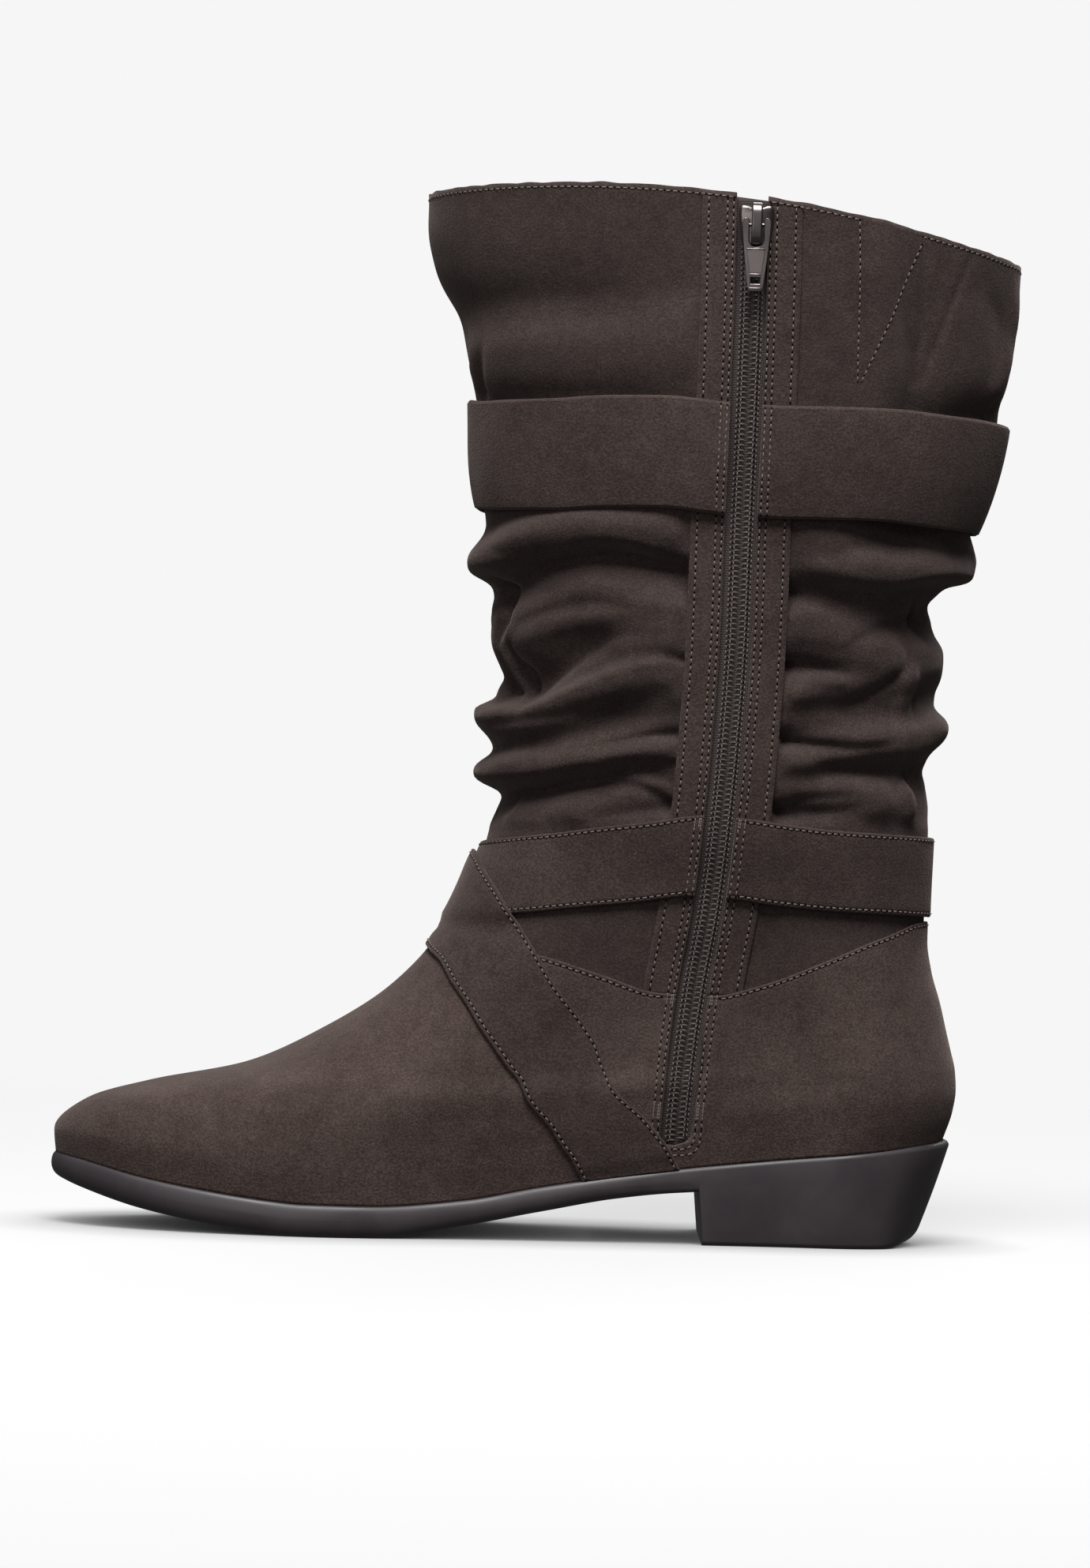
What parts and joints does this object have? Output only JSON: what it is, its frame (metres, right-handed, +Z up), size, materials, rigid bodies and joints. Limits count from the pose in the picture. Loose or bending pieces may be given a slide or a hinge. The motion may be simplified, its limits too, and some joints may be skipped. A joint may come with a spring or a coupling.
{
  "type": "wide calf boot",
  "caption": "Wide calf boot with a slouched shaft, soft band and straps, side zip with hinged pull, and a low moulded heel and sole.",
  "frame": {"origin": "centre of the heel's flat bottom face, on the floor", "axes": "+Z up along the shaft, +X towards the heel's back (toe along -X), -Y towards the inner side of the leg, where the zip is"},
  "size_m": [0.2834, 0.1019, 0.3153],
  "materials": {
    "outsole": "satin moulded",
    "insole": "matte sock lining",
    "upper_suede": "fine napped microsuede",
    "cover_suede": "fine napped microsuede",
    "strap_suede": "fine napped microsuede",
    "guard_suede": "fine napped microsuede",
    "zip_tape": "woven polyester",
    "zip_coil": "satin nylon",
    "zip_metal": "gunmetal"
  },
  "bodies": {
    "boot": {"outsole": "outsole", "insole": "insole", "upper": "upper_suede", "foot_cover": "cover_suede", "upper_band": "strap_suede", "ankle_strap": "strap_suede", "instep_strap": "strap_suede", "zip_guard_front": "guard_suede", "zip_guard_back": "guard_suede", "zip_tape": "zip_tape", "zip_coil": "zip_coil", "zip_slider": "zip_metal"},
    "pull_tab": {"zip_pull": "zip_metal"}
  },
  "joints": [
    {"name": "pull_hinge", "type": "hinge", "parent": "boot", "child": "pull_tab", "pos_m": [-0.01987, -0.05128, 0.30166], "axis": [-1, 0, 0], "range_deg": [-3, 165]}
  ]
}
